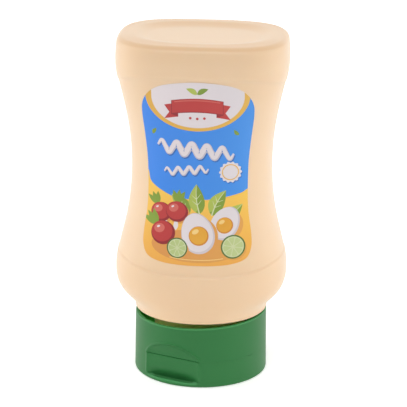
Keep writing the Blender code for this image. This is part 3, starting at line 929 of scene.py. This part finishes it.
def scalloped_seal(x, z, radius, count):
    """A blank round seal with a scalloped edge and a ring."""
    edge = []
    for i in range(count * 6):
        turn = 2.0 * math.pi * i / (count * 6)
        reach = radius * (1.0 + 0.07 * math.cos(count * turn))
        edge.append((reach * math.cos(turn), reach * math.sin(turn)))
    return [
        ("deep_blue", placed(edge, x + 0.3, z - 0.45)),
        ("white", placed(edge, x, z)),
        spot("yellow", 0.80 * radius, 0.80 * radius, x, z),
        spot("white", 0.70 * radius, 0.70 * radius, x, z),
    ]


FOOT_EDGE = ((-24.0, 90.0), (-18.7, 83.9), (-17.1, 78.9), (-10.3, 74.9), (-5.8, 73.8), (4.0, 73.6),
             (14.8, 75.6), (18.2, 77.1), (24.0, 81.0))


def label_fields():
    """The fields both labels share: blue ground, yellow foot and white crown in a yellow rim."""
    foot = catmull_rom(FOOT_EDGE, 6, False) + [(24.0, 40.0), (-24.0, 40.0)]
    return [
        ("blue", placed([(-30.0, 40.0), (30.0, 40.0), (30.0, 130.0), (-30.0, 130.0)], 0.0, 0.0)),
        ("orange", foot),
        ("yellow", crown_field(0.0, 114.0, 19.3, 14.0)),
        ("white", crown_field(0.1, 113.4, 17.1, 12.1)),
    ]


def front_artwork():
    """Front label: banner on the crown, mayonnaise on the blue, and a serving on the foot."""
    drawn = label_fields()
    drawn += [
        ("green", placed(leaf(4.6, 2.0, 0.3), 0.0, 114.3, 28.0)),
        ("light_green", placed(leaf(4.6, 2.0, -0.3), 0.0, 114.3, 152.0)),
    ]
    drawn += red_banner(110.0, 9.6, 5.4, 0.9)
    for x in (-2.6, 0.0, 2.6):
        drawn.append(("red", placed(oval(0.5, 0.5, 0.0, 20), x, 104.9 + 0.03 * x * x)))
    drawn += mayonnaise_line(-0.6, 92.6, 14.0, 2.1, 5, 2.7, -1.4)
    drawn += mayonnaise_line(-4.0, 84.6, 8.2, 1.3, 4, 1.5, 0.8)
    drawn += scalloped_seal(12.2, 84.2, 3.9, 14)
    for x, z, length, turn in ((-16.6, 98.0, 2.8, 60.0), (15.2, 98.6, 2.8, 130.0)):
        drawn.append(("green", placed(leaf(length, 0.5 * length, 0.2), x, z, turn)))
    drawn.append(spot("deep_orange", 17.5, 6.4, 0.5, 55.8))
    for leaf_place in ((-3.0, 67.0, 10.5, 128.0, -0.7), (5.5, 67.5, 11.0, 62.0, 0.7),
                       (1.0, 68.0, 11.5, 96.0, 0.6), (9.0, 66.0, 9.5, 36.0, -0.6)):
        drawn += herb_leaf(*leaf_place)
    drawn += radish(-13.4, 68.0, 3.9, 24.0)
    drawn += radish(-7.4, 68.6, 4.2, -6.0)
    drawn += radish(-12.6, 60.2, 4.7, 38.0)
    drawn += egg_half(10.6, 64.6, 6.6, -26.0)
    drawn += lime_slice(13.6, 55.6, 4.5, 12.0)
    drawn += egg_half(0.4, 60.6, 7.9, 14.0)
    drawn += lime_slice(-7.2, 54.8, 3.9, 0.0)
    rule = [(x, 50.4 + 0.008 * x * x) for x in np.linspace(-10.0, 10.0, 11)]
    drawn.append(("pale_yolk", band(rule, [0.28] * 11, 2)))
    return drawn


def back_artwork():
    """Back label: the same fields with a blank white panel and one line of mayonnaise."""
    panel = [(14.8, 79.0), (15.2, 71.0), (15.2, 62.0), (14.6, 56.2), (12.6, 54.6), (-12.6, 54.6),
             (-14.6, 56.2), (-15.2, 62.0), (-15.2, 71.0), (-14.8, 79.0), (-13.4, 80.4),
             (13.4, 80.4)]
    drawn = label_fields()
    drawn += red_banner(110.0, 9.6, 5.4, 0.9)
    drawn += mayonnaise_line(0.0, 91.6, 14.0, 2.1, 5, 2.7, 0.0)
    drawn.append(("deep_orange", placed(panel, 0.4, -0.6)))
    drawn.append(("white", panel))
    for height in (76.0, 72.6, 69.2, 65.8, 62.4, 59.0):
        line = [(x, height) for x in (-12.0, 0.0, 12.0)]
        drawn.append(("white_shade", band(line, (0.3, 0.3, 0.3), 2)))
    return drawn


def inside(points, shape):
    """Which of the points lie inside a closed shape."""
    x, z = points[:, 0:1], points[:, 1:2]
    shape = np.array(shape)
    x0, z0 = shape[:, 0], shape[:, 1]
    x1, z1 = np.roll(x0, -1), np.roll(z0, -1)
    crosses = (z0 > z) != (z1 > z)
    rise = np.where(z1 == z0, 1.0, z1 - z0)
    at = x0 + (z - z0) * (x1 - x0) / rise
    return (np.sum(crosses & (x < at), axis=1) % 2) == 1


def cut_artwork(outline, drawn, grid):
    """Triangles of the label with the layer that shows on each, in flat mm."""
    points, edges = [], []
    for shape in [outline] + [shape for ink, shape in drawn]:
        start = len(points)
        points += [(float(x), float(z)) for x, z in shape]
        edges += [(start + i, start + (i + 1) % len(shape)) for i in range(len(shape))]
    low = np.min(outline, axis=0)
    high = np.max(outline, axis=0)
    mesh_x, mesh_z = np.meshgrid(np.arange(low[0], high[0], grid), np.arange(low[1], high[1], grid))
    filler = np.stack([mesh_x.ravel(), mesh_z.ravel()], 1)
    filler = filler[inside(filler, outline)]
    points += [tuple(point) for point in filler]
    result = delaunay_2d_cdt([Vector(point) for point in points], edges, [], 0, 1.0e-4)
    places = np.array([tuple(point) for point in result[0]])
    triangles = np.array([face for face in result[2] if len(face) == 3])
    middles = places[triangles].mean(axis=1)
    kept = inside(middles, outline)
    triangles = triangles[kept]
    middles = middles[kept]
    shows = np.zeros(len(triangles), int)
    for number, (ink, shape) in enumerate(drawn):
        shows[inside(middles, shape)] = number
    return places, triangles, shows


def wall_points(flat, offset, facing, depth):
    """Points of the label panel's surface, moved outwards by an offset. flat is in mm."""
    x = flat[:, 0] * MM
    height = flat[:, 1] * MM
    outwards = offset - panel_depth(x / half_width_at(height), depth) - PARTING_HEIGHT
    half_width = half_width_at(height) + outwards
    half_depth = half_depth_at(height) + outwards
    exponent = exponent_at(height)
    share = 1.0 - np.abs(x / half_width) ** exponent
    return np.stack([-facing * x, facing * half_depth * share ** (1.0 / exponent), height], 1)


def label_inks(settings):
    """Every ink by name, each as a run from one tone to another along an axis (X 0, Z 2)."""
    tones = {
        "white": ("E3D9DB", "DCD4D7", 0, -20.0, 20.0),
        "white_shade": ("CFC6C9", "C4BCC4", 2, 50.0, 80.0),
        "yellow": ("DDAB4C", "E2B255", 0, -20.0, 20.0),
        "deep_orange": ("D89450", "DFA153", 0, -18.0, 18.0),
        "red": ("B83D3C", "C0423F", 0, -14.0, 14.0),
        "deep_red": ("8F2B30", "9A3034", 0, -14.0, 14.0),
        "light_red": ("D06A60", "CB625A", 0, -14.0, 14.0),
        "green": ("86A03C", "7F983A", 2, 60.0, 80.0),
        "light_green": ("A5B650", "B0BD5A", 2, 60.0, 80.0),
        "pale_green": ("C8D0A0", "D0D6A8", 2, 50.0, 80.0),
        "deep_green": ("4E6B33", "57743A", 0, -14.0, 14.0),
        "lime_flesh": ("B4C382", "BCC98C", 0, -14.0, 14.0),
        "yolk": ("E3A83C", "E0A038", 2, 54.0, 66.0),
        "deep_yolk": ("D08A34", "CC8433", 2, 54.0, 66.0),
        "pale_yolk": ("F0CF86", "EFCB80", 0, -12.0, 12.0),
        "deep_blue": ("2E67B4", "3A74C2", 0, -20.0, 20.0),
    }
    inks = {}
    for name, (first, second, axis, start, end) in tones.items():
        inks[name] = varnished_print("ink_" + name, hex_to_linear(first), hex_to_linear(second),
                                     axis, start, end)
    lighter = tinted(settings.field, (1.30, 1.18, 0.96))
    inks["blue"] = varnished_print("ink_blue", settings.field, lighter, 0, -20.0, 20.0)
    deeper = tinted(settings.foot, (0.93, 0.74, 0.85))
    inks["orange"] = varnished_print("ink_orange", deeper, settings.foot, 2, 50.0, 74.0)
    inks["film_edge"] = varnished_print("white_film_edge", hex_to_linear("E9E6E2"),
                                        hex_to_linear("E2DFDC"), 2, 50.0, 118.0)
    return inks


def build_label(name, node, drawn, facing, settings, depth):
    """Wraps a cut artwork on the label panel as one closed piece of film."""
    outline = label_outline()
    places, triangles, shows = cut_artwork(outline, drawn, settings.grid / MM)
    used, triangles = np.unique(triangles, return_inverse=True)
    triangles = triangles.reshape(-1, 3)
    flat = places[used]
    count = len(flat)
    outer = wall_points(flat, LABEL_OUTSIDE, facing, depth)
    inner = wall_points(flat, LABEL_INSIDE, facing, depth)
    inks = label_inks(settings)
    names = sorted(set(drawn[i][0] for i in set(shows.tolist()))) + ["film_edge"]
    number = {ink: i for i, ink in enumerate(names)}
    faces = [tuple(int(i) for i in face) for face in triangles]
    numbers = [number[drawn[i][0]] for i in shows]
    faces += [(count + face[2], count + face[1], count + face[0]) for face in list(faces)]
    numbers += [number["film_edge"]] * len(triangles)
    sides = {}
    for face in triangles.tolist():
        for a, b in ((face[0], face[1]), (face[1], face[2]), (face[2], face[0])):
            if (b, a) in sides:
                del sides[(b, a)]
            else:
                sides[(a, b)] = True
    for a, b in sides:
        faces.append((b, a, count + a, count + b))
        numbers.append(number["film_edge"])
    piece = make_piece(name, np.concatenate([outer, inner]), faces, [inks[ink] for ink in names],
                       numbers)
    piece.data.set_sharp_from_angle(angle=math.radians(50.0))
    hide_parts(node)


# Cap

def cap_angles():
    """Angles from the front towards +X, close together across the thumb catch and the nick."""
    fine, nick = [middle + np.radians(np.arange(-half, half + 0.01, step))
                  for middle, (half, step) in ((CATCH_TURN, CATCH_COLUMNS),
                                               (NICK_ANGLE, NICK_COLUMNS))]
    rest = np.linspace(fine[-1], fine[0] + 2.0 * math.pi, OTHER_COLUMNS)[1:-1]
    return np.unique(np.concatenate([fine, rest, nick]))


def cap_wall(height):
    share = height / CAP_RIM_HEIGHT
    return CAP_FOOT_RADIUS + (CAP_RIM_RADIUS - CAP_FOOT_RADIUS) * share


def soft_lower(first, second, blend):
    """The smaller of two values, with a rounding where they meet."""
    share = np.clip(0.5 + 0.5 * (second - first) / blend, 0.0, 1.0)
    return second * (1.0 - share) + first * share - blend * share * (1.0 - share)


def from_catch(angle):
    """An angle as counted from the thumb catch's middle, between half a turn back and on."""
    return (angle - CATCH_TURN + math.pi) % (2.0 * math.pi) - math.pi


def caught_wall(angle, height, flat):
    """The cap's radius with the thumb catch cut to a flat, a bead along its edge."""
    wall = cap_wall(height)
    cut_to = flat / np.maximum(np.cos(from_catch(angle)), LEAST_FACING)
    bead = BEAD_HEIGHT * np.exp(-((wall - cut_to) / BEAD_WIDTH) ** 2)
    bead = bead * smooth_step((height - BEAD_START) / BEAD_RISE)
    return soft_lower(np.full(angle.shape, wall), cut_to, EDGE_BLEND) + bead


def along_curve(points, height):
    """The value of a curve, given in mm, at a height in metres."""
    line = np.array(catmull_rom(points, 5, False))
    return float(np.interp(height / MM, line[:, 0], line[:, 1]))


def scoop_share(angle):
    """How much of the finger scoop is there: all in the flat's middle, none at its sides."""
    turn = np.clip(from_catch(angle), -1.2, 1.2)
    across = np.clip(np.abs(CATCH_CHORD * np.tan(turn)) / SCOOP_HALF_WIDTH, 0.0, 1.0)
    return 1.0 - across ** 4


def lid_flat(angle, height):
    """The flat's distance from the axis: the lip below, scooped behind its middle."""
    scoop = along_curve(CATCH_SCOOP, height) * scoop_share(angle)
    return (along_curve(CATCH_LIP, height) - scoop) * MM


def lid_height(angle, height):
    """A row's height: the scoop goes down behind the lip as a groove."""
    return height - along_curve(CATCH_SINK, height) * scoop_share(angle) * MM


def arch_flat(height, seam):
    share = max(height - seam, 0.0) / ARCH_HEIGHT
    return ARCH_FOOT + ARCH_REACH * share ** ARCH_POWER


def seam_rounding(angle):
    """The seam edge's rounding: fine, but wider across the thumb catch and at the nick."""
    catch = smooth_step((SEAM_CATCH_HALF_ANGLE - np.abs(from_catch(angle))) / math.radians(1.5))
    nick = smooth_step((NICK_HALF_ANGLE - np.abs(angle - NICK_ANGLE)) / math.radians(1.0))
    return SEAM_EDGE + (CATCH_SEAM_EDGE - SEAM_EDGE) * np.maximum(catch, 0.8 * nick)


def rounded_in(rounding, distance):
    """How far a rounded edge lies inside its corner, at a distance from the end face."""
    left = np.clip(rounding - distance, 0.0, rounding)
    return rounding - np.sqrt(np.maximum(rounding ** 2 - left ** 2, 0.0))


def cap_ring(angle, radius, height):
    """One row of the cap. The angle is from the front (-Y) towards +X."""
    radius = np.broadcast_to(radius, angle.shape)
    height = np.broadcast_to(height, angle.shape)
    return np.stack([radius * np.sin(angle), -radius * np.cos(angle), height], 1)


def sloped(rows):
    """Rows of the cap body with its rim raised towards +X."""
    raised_rows = []
    for row in rows:
        row = np.array(row, float)
        reach = (row[..., 2] - RIM_SLOPE_START) / (CAP_RIM_HEIGHT - RIM_SLOPE_START)
        lift = RIM_LIFT + RIM_SLOPE * row[..., 0] / CAP_RIM_RADIUS
        row[..., 2] += lift * smooth_step(reach)
        raised_rows.append(row)
    return raised_rows


def closure_rings(settings):
    """Rows of the cap body: end face, outer wall, rim, inner wall and cavity floor."""
    angle = cap_angles()
    seam = settings.seam_height
    base = seam + 0.5 * SEAM_GAP
    rounding = seam_rounding(angle)
    edge = caught_wall(angle, base, arch_flat(base, seam))
    rows = [(0.0, 0.0, base)]
    for share in (0.4, 0.8, 0.95):
        rows.append(cap_ring(angle, share * edge, base))
    heights = [base + step * MM for step in SEAM_ROWS]
    heights += list(np.arange(heights[-1] + ARCH_ROW, seam + ARCH_HEIGHT + 0.6 * MM, ARCH_ROW))
    heights += list(np.linspace(heights[-1] + 0.6 * MM, CAP_RIM_HEIGHT - RIM_EDGE, 9))
    for height in heights:
        radius = caught_wall(angle, height, arch_flat(height, seam))
        rows.append(cap_ring(angle, radius - rounded_in(rounding, height - base), height))
    inner = CAP_RIM_RADIUS - CAP_WALL
    for turn in np.radians((15.0, 30.0, 45.0, 60.0, 75.0, 90.0)):
        rows.append(cap_ring(angle, CAP_RIM_RADIUS - RIM_EDGE * (1.0 - math.cos(turn)),
                             CAP_RIM_HEIGHT - RIM_EDGE * (1.0 - math.sin(turn))))
    for turn in np.radians((0.0, 22.5, 45.0, 67.5, 90.0)):
        rows.append(cap_ring(angle, inner + RIM_EDGE * (1.0 - math.sin(turn)),
                             CAP_RIM_HEIGHT - RIM_EDGE * (1.0 - math.cos(turn))))
    for height in np.linspace(CAP_RIM_HEIGHT - 2.0 * RIM_EDGE, CAP_CAVITY_FLOOR + 0.3 * MM, 6):
        rows.append(cap_ring(angle, inner, height))
    for share in (1.0, 0.98, 0.9, 0.7, 0.35):
        rows.append(cap_ring(angle, share * inner, CAP_CAVITY_FLOOR))
    rows.append((0.0, 0.0, CAP_CAVITY_FLOOR))
    return sloped(rows)


def lid_rings(settings):
    """Rows of the flip lid: foot, rounded foot edge, wall with its lip and end face."""
    angle = cap_angles()
    top = settings.seam_height - 0.5 * SEAM_GAP
    rounding = seam_rounding(angle)
    rows = [(0.0, 0.0, 0.0)]
    for share in (0.4, 0.8, 0.95):
        rows.append(cap_ring(angle, share * (CAP_FOOT_RADIUS - FOOT_FILLET), 0.0))
    heights = [FOOT_FILLET * (1.0 - math.cos(turn)) for turn in np.radians(np.linspace(0, 90, 9))]
    for start, end, step in LIP_ROWS:
        heights += list(np.arange(start * MM, end * MM, step * MM))
    heights += list(np.linspace(5.5 * MM, top - 0.4 * MM, 16))
    heights += [top - step * MM for step in SEAM_ROWS[::-1]]
    for height in heights:
        radius = caught_wall(angle, height, lid_flat(angle, height))
        radius = radius - rounded_in(FOOT_FILLET, height)
        radius = radius - rounded_in(rounding, top - height)
        rows.append(cap_ring(angle, radius, lid_height(angle, height)))
    edge = caught_wall(angle, top, lid_flat(angle, top))
    for share in (0.95, 0.8, 0.4):
        rows.append(cap_ring(angle, share * edge, top))
    rows.append((0.0, 0.0, top))
    return rows


def build_cap_piece(name, node, rows, material):
    points, faces = skin(rows)
    piece = make_piece(name, points, faces, [material])
    piece.data.set_sharp_from_angle(angle=math.radians(60.0))
    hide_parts(node)


# Stage

def aim(item, target):
    """Turns a light or camera at its place towards a target."""
    towards = Vector(target) - item.location
    item.rotation_euler = towards.to_track_quat("-Z", "Y").to_euler()


def soft_light(name, place, width, height, power):
    """A soft box that points at the part."""
    data = bpy.data.lights.new(name, "AREA")
    data.shape = "RECTANGLE"
    data.size = width
    data.size_y = height
    data.energy = power
    lamp = put(name, data)
    lamp.location = place
    aim(lamp, (0.0, 0.0, 0.06))


def build_floor(settings):
    side = 0.5 * settings.floor_size
    mesh = bpy.data.meshes.new("floor")
    mesh.from_pydata([(-side, -side, 0.0), (side, -side, 0.0), (side, side, 0.0),
                      (-side, side, 0.0)], [], [(0, 1, 2, 3)])
    mesh.materials.append(painted_glow_floor())
    floor = put("floor", mesh)
    floor.location = (0.0, 0.0, -0.1 * MM)


def build_camera(settings):
    """The camera of the photograph: far off, a little above and to the right, nearly level."""
    target = Vector((0.0, 0.0, CAMERA_AIM))
    reach = settings.camera_distance
    flat = reach * math.cos(settings.camera_rise)
    data = bpy.data.cameras.new("camera")
    data.lens = CAMERA_LENS
    data.sensor_width = 36.0
    data.shift_x = CAMERA_SHIFT
    data.clip_end = 30.0
    camera = put("camera", data)
    camera.location = target + Vector((flat * math.sin(settings.camera_side),
                                       -flat * math.cos(settings.camera_side),
                                       reach * math.sin(settings.camera_rise)))
    aim(camera, target)
    turned = camera.rotation_euler.to_matrix() @ Matrix.Rotation(CAMERA_ROLL, 3, "Z")
    camera.rotation_euler = turned.to_euler()
    bpy.context.scene.camera = camera


def build_light():
    """A white room that is dimmer behind the camera, with soft boxes at the sides and above."""
    world = bpy.data.worlds.new("studio")
    world.use_nodes = True
    tree = world.node_tree
    towards = add(tree, "ShaderNodeTexCoord").outputs["Generated"]
    facing = add(tree, "ShaderNodeVectorMath", {"operation": "DOT_PRODUCT", 1: (0.08, -0.95, 0.30)},
                 {0: towards})
    room = add(tree, "ShaderNodeMapRange", {"interpolation_type": "SMOOTHSTEP", "From Min": -0.95,
                                            "From Max": 0.6, "To Min": 1.2, "To Max": 0.1},
               {"Value": facing.outputs["Value"]})
    background = tree.nodes["Background"]
    background.inputs["Color"].default_value = (1.0, 1.0, 1.0, 1.0)
    tree.links.new(room.outputs[0], background.inputs["Strength"])
    bpy.context.scene.world = world
    for name, box in SOFT_BOXES.items():
        soft_light(name, *box)
    bpy.context.scene.view_settings.view_transform = "Standard"


# Operators

class BuildBottle(Operator):
    """Builds the blow-moulded bottle."""
    bl_idname = "squeeze_bottle.bottle"
    bl_label = "Bottle"

    def execute(self, context):
        build_bottle(context.scene.squeeze_bottle)
        return {"FINISHED"}


class BuildLabels(Operator):
    """Wraps the front and the back label on the bottle's panel."""
    bl_idname = "squeeze_bottle.labels"
    bl_label = "Labels"

    def execute(self, context):
        settings = context.scene.squeeze_labels
        depth = context.scene.squeeze_bottle.panel_depth
        build_label("front_label", "label_front", front_artwork(), -1.0,
                    settings, depth)
        build_label("rear_label", "label_back", back_artwork(), 1.0,
                    settings, depth)
        return {"FINISHED"}


class BuildCap(Operator):
    """Builds the cap body and the shut flip lid."""
    bl_idname = "squeeze_bottle.cap"
    bl_label = "Cap"

    def execute(self, context):
        settings = context.scene.squeeze_cap
        build_cap_piece("cap_body", "closure", closure_rings(settings),
                        moulded_polypropylene("polypropylene_cap", settings))
        build_cap_piece("cap_lid", "flip_lid", lid_rings(settings),
                        moulded_polypropylene("polypropylene_lid", settings))
        return {"FINISHED"}


class BuildStage(Operator):
    """Sets the floor, the light and the camera."""
    bl_idname = "squeeze_bottle.stage"
    bl_label = "Stage"

    def execute(self, context):
        settings = context.scene.squeeze_stage
        build_floor(settings)
        build_light()
        build_camera(settings)
        return {"FINISHED"}


class SqueezeBottlePanel(Panel):
    """Lists the operators and their settings."""
    bl_idname = "VIEW3D_PT_squeeze_bottle"
    bl_label = "Squeeze bottle"
    bl_space_type = "VIEW_3D"
    bl_region_type = "UI"
    bl_category = "Squeeze bottle"

    def draw(self, context):
        scene = context.scene
        rows = ((BuildBottle, scene.squeeze_bottle, ("panel_depth", "columns", "colour", "warm")),
                (BuildLabels, scene.squeeze_labels, ("field", "foot", "grid")),
                (BuildCap, scene.squeeze_cap, ("seam_height", "colour")),
                (BuildStage, scene.squeeze_stage, ("floor_size", "camera_distance", "camera_side",
                                                   "camera_rise")))
        for operator, settings, names in rows:
            box = self.layout.box()
            for name in names:
                box.prop(settings, name)
            box.operator(operator.bl_idname)


CLASSES = (BottleSettings, LabelSettings, CapSettings, StageSettings, BuildBottle, BuildLabels,
           BuildCap, BuildStage, SqueezeBottlePanel)
POINTERS = (("squeeze_bottle", BottleSettings), ("squeeze_labels", LabelSettings),
            ("squeeze_cap", CapSettings), ("squeeze_stage", StageSettings))


def register():
    for item in CLASSES:
        bpy.utils.register_class(item)
    for name, group in POINTERS:
        setattr(bpy.types.Scene, name, PointerProperty(type=group))


def unregister():
    for name, group in POINTERS:
        delattr(bpy.types.Scene, name)
    for item in reversed(CLASSES):
        bpy.utils.unregister_class(item)


def main():
    register()
    bpy.ops.squeeze_bottle.bottle()
    bpy.ops.squeeze_bottle.labels()
    bpy.ops.squeeze_bottle.cap()
    bpy.ops.squeeze_bottle.stage()


if __name__ == "__main__":
    main()
